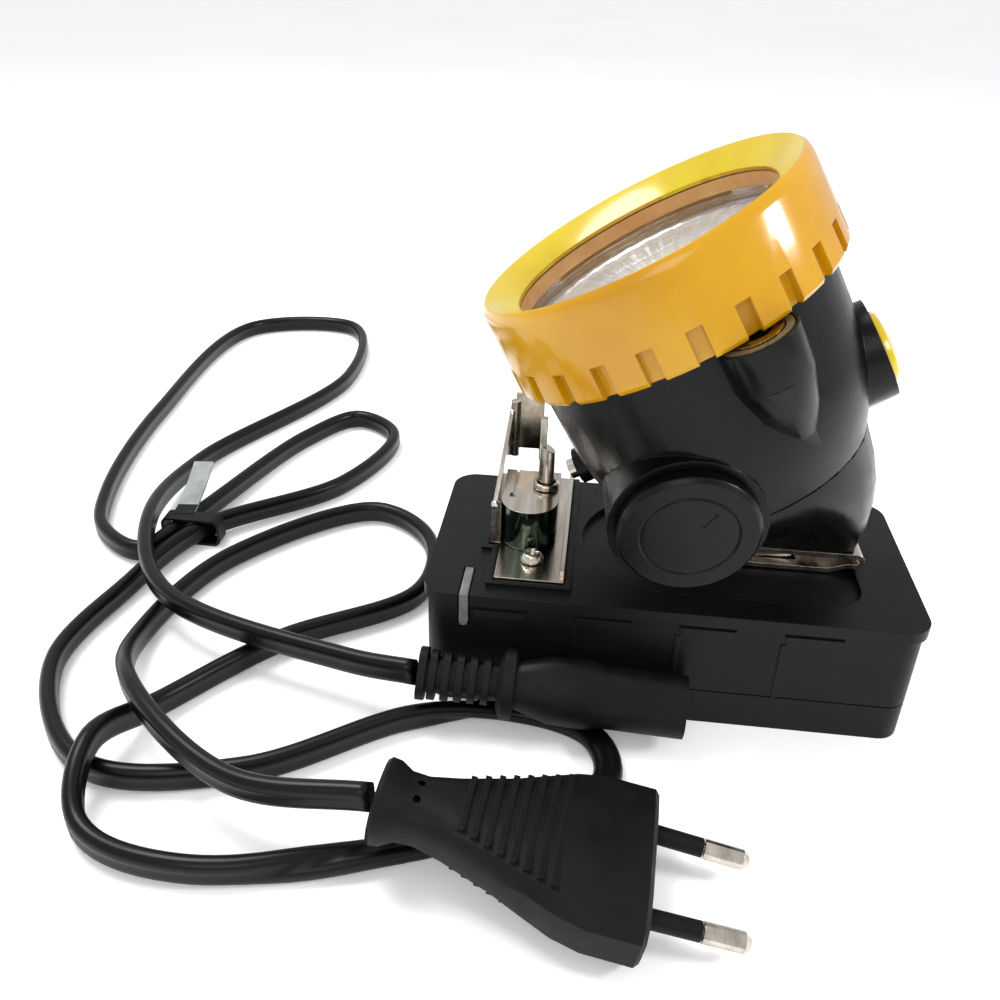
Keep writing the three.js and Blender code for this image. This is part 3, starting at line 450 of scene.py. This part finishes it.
# node: (piece, body, slot, material, width of the eased edge in mm, second material, its part)
keptShapes = {
    "charger_base": ("chargerBase", "charger", "blackCase", "sparkTexturedAbs", 0.35),
    "charger_lid": ("chargerLid", "charger", "blackCase", "sparkTexturedAbs", 0.35),
    "light_pipe": ("lightPipe", "charger", "palePipe", "frostedAcrylic", 0.2),
    "charge_bracket": ("chargeBracket", "charger", "nickel", "nickelPlatedSteel", 0.2),
    # the block's chromed side carries a painted reflection
    "contact_block": ("contactBlock", "charger", "nickel", "nickelPlatedSteel", 0.25,
                      "paintedReflectionChrome", "side"),
    "charging_key": ("chargingKey", "charger", "darkSteel", "nickelPlatedSteel", 0.15),
    "bracket_screw_front": ("bracketScrewFront", "charger", "nickel", "nickelPlatedSteel", 0.12),
    "bracket_screw_rear": ("bracketScrewRear", "charger", "nickel", "nickelPlatedSteel", 0.12),
    # the bezel's funnel takes a lemon tone of painted light
    "bezel_ring": ("bezelRing", "lamp", "yellowPlastic", "polishedYellowAbs", 0.3,
                   "paintedLightYellowAbs", "funnel"),
    "cord_tie": ("cordTie", "charger", "rubber", "overmouldedPvc", 0.1, "paleNylon", "tail"),
    "lamp_shell": ("lampShell", "lamp", "blackShell", "satinPolycarbonate", 0),
    "rear_cover": ("rearCover", "lamp", "blackShell", "satinPolycarbonate", 0.3),
    "side_knob": ("sideKnob", "knob", "blackShell", "satinPolycarbonate", 0.3),
    # the button is in the lemon tone of painted light
    "power_button": ("powerButton", "button", "yellowPlastic", "paintedLightYellowAbs", 0.25),
    "helmet_clip": ("helmetClip", "lamp", "nickel", "nickelPlatedSteel", 0.15),
    "lead_connector": ("leadConnector", "charger", "rubber", "overmouldedPvc", 0.3),
    "plug_body": ("plugBody", "charger", "rubber", "overmouldedPvc", 0.3),
}
finishes = {
    "blackCase": "sparkTexturedAbs", "blackShell": "satinPolycarbonate",
    "yellowPlastic": "polishedYellowAbs", "clearLens": "clearPolycarbonate",
    "tanGasket": "tanSilicone", "mirror": "metallisedAluminium", "nickel": "nickelPlatedSteel",
    "darkSteel": "blackenedSteel", "brass": "turnedBrass", "greyPlastic": "mouldedNylon",
    "palePipe": "frostedAcrylic", "rubber": "overmouldedPvc", "cordSheath": "extrudedPvc",
    "board": "solderMaskedBoard", "cellWrap": "shrinkSleeve", "phosphor": "phosphorSilicone",
}


# how the copies are merged, smoothed and eased
easing = {
    "mergeMm": 0.002,
    "flatTo": math.radians(0.6),  # faces that meet flatter than this become one
    "smoothTo": math.radians(32),  # edges sharper than this stay sharp
    "roundFrom": math.radians(35),
    "segments": 2,
}
# where a piece's second finish begins
tieTail = {"from": 34.2}
funnel = {"rim": 35.0, "low": -4.4}
# the lamp head's own frame: the middle of the bezel's front, with the lens along its +Z
headFacts = {"place": (-15.4, 1, 107.7), "tilt": -math.pi / 6}
lampHead = Matrix.Translation(Vector(headFacts["place"]) * mm) @ Matrix.Rotation(
    headFacts["tilt"], 4, "Y"
)


def mergedCopy(node):
    bm = bmesh.new()
    bm.from_mesh(frame["nodes"][node].data)
    bmesh.ops.remove_doubles(bm, verts=bm.verts, dist=easing["mergeMm"] * mm)
    bmesh.ops.dissolve_limit(
        bm, angle_limit=easing["flatTo"], verts=bm.verts, edges=bm.edges, delimit=set()
    )
    return bm


def smoothed(bm, name):
    for face in bm.faces:
        face.smooth = True
    for edge in bm.edges:
        edge.smooth = (
            len(edge.link_faces) == 2 and edge.calc_face_angle(0) < easing["smoothTo"]
        )
    mesh = bpy.data.meshes.new(name)
    bm.to_mesh(mesh)
    bm.free()
    return mesh


def easeEdges(piece, width):
    bevel = piece.modifiers.new("easedEdges", "BEVEL")
    bevel.width = width * mm
    bevel.segments = easing["segments"]
    bevel.limit_method = "ANGLE"
    bevel.angle_limit = easing["roundFrom"]
    bevel.use_clamp_overlap = True
    bevel.harden_normals = False


def secondFinish(mesh, part):
    # the block is chromed round its side, and its chrome carries a painted reflection; the tie's
    # loose tail is paler than its band; and the bezel's funnel, which slopes in to the lens,
    # takes the lemon tone of painted light
    outwards = lampHead.inverted()
    for face in mesh.polygons:
        if part == "side":
            face.material_index = int(abs(face.normal.z) < 0.5)
        elif part == "funnel":
            spot = outwards @ face.center
            face.material_index = int(
                math.hypot(spot.x, spot.y) < funnel["rim"] * mm and spot.z > funnel["low"] * mm
            )
        else:
            face.material_index = int(face.center.y > tieTail["from"] * mm)


def keepShape(node):
    name, body, slotName, material, width, *second = keptShapes[node]
    piece = newPiece(name, smoothed(mergedCopy(node), name), material, *second[:1])
    if second:
        secondFinish(piece.data, second[1])
    if width:
        easeEdges(piece, width)
    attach(piece, body)
    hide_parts(node)
    return piece


kept = {node: keepShape(node) for node in keptShapes}
print("shapes kept:", len(kept))

# ---- the fluted reflector

reflectorFacts = {
    "throat": (5.4, -34.2),  # radius and height at the LED
    "mouth": (28.2, -11.3),
    "rim": (30.4, -11.3),
    "flutes": 36,
    "fluteDeep": 0.6,
    "wall": 0.5,
    "rings": 22,
    "sides": 320,
}


def makeReflector():
    facts = reflectorFacts
    (inR, inZ), (outR, outZ) = facts["throat"], facts["mouth"]
    bm = bmesh.new()
    profile = []
    for i in range(facts["rings"] + 1):
        r = inR + (outR - inR) * i / facts["rings"]
        z = inZ + (outZ - inZ) * (r**2 - inR**2) / (outR**2 - inR**2)
        profile.append(bm.verts.new((r * mm, 0, z * mm)))
    profile.append(bm.verts.new((facts["rim"][0] * mm, 0, facts["rim"][1] * mm)))
    edges = [bm.edges.new(pair) for pair in zip(profile, profile[1:])]
    bmesh.ops.spin(
        bm, geom=[*profile, *edges], axis=(0, 0, 1), cent=(0, 0, 0), angle=2 * math.pi,
        steps=facts["sides"], use_merge=True,
    )
    bmesh.ops.remove_doubles(bm, verts=bm.verts, dist=0.001 * mm)
    for vert in bm.verts:
        radius = math.hypot(vert.co.x, vert.co.y) / mm
        if inR + 0.1 < radius < outR - 0.1:
            share = math.sin(math.pi * (radius - inR) / (outR - inR)) ** 0.5
            angle = math.atan2(vert.co.y, vert.co.x)
            swell = facts["fluteDeep"] * share * abs(math.sin(facts["flutes"] * angle / 2))
            vert.co.x *= (radius + swell) / radius
            vert.co.y *= (radius + swell) / radius
    bmesh.ops.recalc_face_normals(bm, faces=bm.faces)
    if sum(f.normal.z * f.calc_area() for f in bm.faces) < 0:
        bmesh.ops.reverse_faces(bm, faces=bm.faces)
    bmesh.ops.solidify(bm, geom=bm.faces, thickness=facts["wall"] * mm)
    for face in bm.faces:
        face.smooth = True
    bm.transform(lampHead)
    mesh = bpy.data.meshes.new("flutedReflector")
    bm.to_mesh(mesh)
    bm.free()
    piece = newPiece("flutedReflector", mesh, "metallisedAluminium")
    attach(piece, "lamp")
    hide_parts("reflector")


makeReflector()
print("reflector made")

# ---- frame nodes that stay as they are

slotOf = {
    part["node"]: part["material_slot"]
    for part in frame["record"]["subparts"]
    if "material_slot" in part
}
for node, thing in frame["nodes"].items():
    if thing.hide_render:
        continue
    thing.data.materials.clear()
    thing.data.materials.append(materials[finishes[slotOf.get(node, "blackCase")]])
print("frame nodes finished")

# ---- floor and light

studio = {
    "floorHalf": 6.0,
    "sky": "#f6f7f8",
    "skyStrength": 0.8,
    # (place, aim, size, watts)
    "lights": {
        "keyPanel": ((-0.35, 0.15, 0.75), (-0.03, 0.0, 0.04), 0.35, 4.5),
        "sidePanel": ((0.65, -0.1, 0.45), (0.0, 0.0, 0.05), 0.16, 3.0),
        "frontPanel": ((-0.1, -0.75, 0.6), (0.0, 0.0, 0.03), 0.4, 1.2),
    },
}


def setStudio():
    bm = bmesh.new()
    bmesh.ops.create_grid(bm, x_segments=1, y_segments=1, size=studio["floorHalf"])
    mesh = bpy.data.meshes.new("floorCard")
    bm.to_mesh(mesh)
    bm.free()
    newPiece("floorCard", mesh, "paleCard")
    world = bpy.data.worlds.new("studio")
    world.use_nodes = True
    background = world.node_tree.nodes["Background"]
    background.inputs["Color"].default_value = linear(studio["sky"])
    background.inputs["Strength"].default_value = studio["skyStrength"]
    bpy.context.scene.world = world
    bpy.context.scene.view_settings.view_transform = "Standard"
    for name, (place, aim, size, watts) in studio["lights"].items():
        data = bpy.data.lights.new(name, "AREA")
        data.shape = "SQUARE"
        data.size = size
        data.energy = watts
        lamp = bpy.data.objects.new(name, data)
        lamp.location = place
        lamp.rotation_euler = (Vector(aim) - Vector(place)).to_track_quat("-Z", "Y").to_euler()
        bpy.context.scene.collection.objects.link(lamp)


setStudio()
print("studio set")
